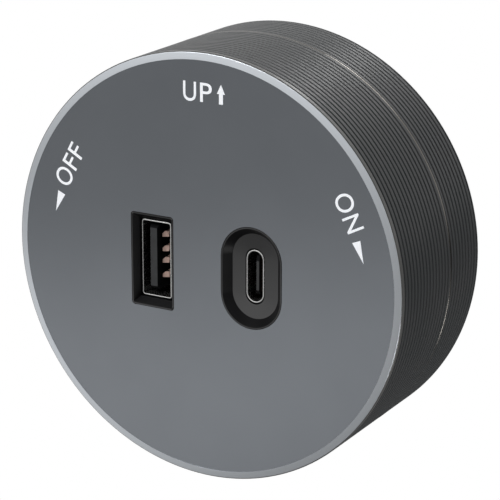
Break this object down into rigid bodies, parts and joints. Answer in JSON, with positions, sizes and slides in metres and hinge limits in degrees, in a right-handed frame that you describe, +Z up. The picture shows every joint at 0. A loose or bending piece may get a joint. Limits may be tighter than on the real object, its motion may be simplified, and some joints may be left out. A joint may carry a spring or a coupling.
{
  "type": "power track charging module",
  "caption": "Round ribbed module that twists into a slotted power track, with a type A and a type C charging socket in its face.",
  "frame": {"origin": "centre of the rear seat face that lies against the track", "axes": "+Y into the track along the turning axis, face towards -Y, +Z up and +X right as seen from the front, in the OFF position"},
  "size_m": [0.072, 0.0446, 0.072],
  "materials": {
    "shell_grey": "fine textured moulded polycarbonate blend",
    "face_grey": "satin painted polycarbonate",
    "ring_pale": "pale satin anodised",
    "trim_bright": "polished",
    "surround_black": "black moulded",
    "socket_steel": "drawn stainless steel",
    "tongue_grey": "glass-filled nylon",
    "contact_copper": "plated copper alloy",
    "board_green": "solder mask on glass laminate",
    "screw_steel": "zinc plated",
    "spring_steel": "spring steel",
    "core_ferrite": "sintered ferrite",
    "coil_tape": "polyester tape over the winding",
    "can_black": "sleeved can",
    "disc_blue": "epoxy coated",
    "box_yellow": "moulded case",
    "fuse_glass": "clear glass",
    "chip_black": "moulded epoxy",
    "base_grey": "glass-filled nylon",
    "pad_rubber": "soft rubber"
  },
  "bodies": {
    "base": {"base_shell": "shell_grey", "base_plate": "base_grey", "base_screws": "screw_steel", "seat_pads": "pad_rubber", "spring_washer": "spring_steel"},
    "head": {"head_shell": "shell_grey", "bezel_ring": "ring_pale", "face_plate": "face_grey", "usb_a_surround": "surround_black", "usb_c_surround": "surround_black", "usb_a_shell": "socket_steel", "usb_a_tongue": "tongue_grey", "usb_a_contacts": "contact_copper", "usb_c_shell": "socket_steel", "usb_c_tongue": "tongue_grey", "usb_c_contacts": "contact_copper", "port_board": "board_green", "port_board_screws": "screw_steel", "controller_chip": "chip_black", "main_board": "board_green", "main_board_screws": "screw_steel", "transformer_core": "core_ferrite", "transformer_coil": "coil_tape", "bulk_capacitors": "can_black", "output_capacitors": "can_black", "choke": "core_ferrite", "varistor": "disc_blue", "film_capacitor": "box_yellow", "fuse_tube": "fuse_glass", "fuse_caps": "contact_copper", "rectifier": "chip_black", "inductor": "core_ferrite", "header_block": "chip_black", "header_pins": "contact_copper", "trim_ring": "trim_bright", "head_cup": "base_grey", "cup_screws": "screw_steel", "stop_pin": "screw_steel", "retaining_ring": "spring_steel", "twist_post": "base_grey", "post_screws": "screw_steel", "twist_cover": "base_grey", "cover_screws": "screw_steel", "live_strip": "contact_copper", "neutral_strip": "contact_copper", "earth_collar": "contact_copper", "live_spring": "spring_steel", "neutral_spring": "spring_steel"},
    "live_shoe": {"live_contact": "contact_copper"},
    "neutral_shoe": {"neutral_contact": "contact_copper"}
  },
  "joints": [
    {"name": "head_turn", "type": "hinge", "parent": "base", "child": "head", "pos_m": [0, 0, 0], "axis": [0, 1, 0], "range_deg": [0, 90]},
    {"name": "live_press", "type": "slide", "parent": "head", "child": "live_shoe", "axis": [-1, 0, 0], "range_m": [0, 0.001], "stiffness_N_per_m": 600, "springref_m": -0.002, "deforming": ["live_spring"]},
    {"name": "neutral_press", "type": "slide", "parent": "head", "child": "neutral_shoe", "axis": [1, 0, 0], "range_m": [0, 0.001], "stiffness_N_per_m": 600, "springref_m": -0.002, "deforming": ["neutral_spring"]}
  ]
}
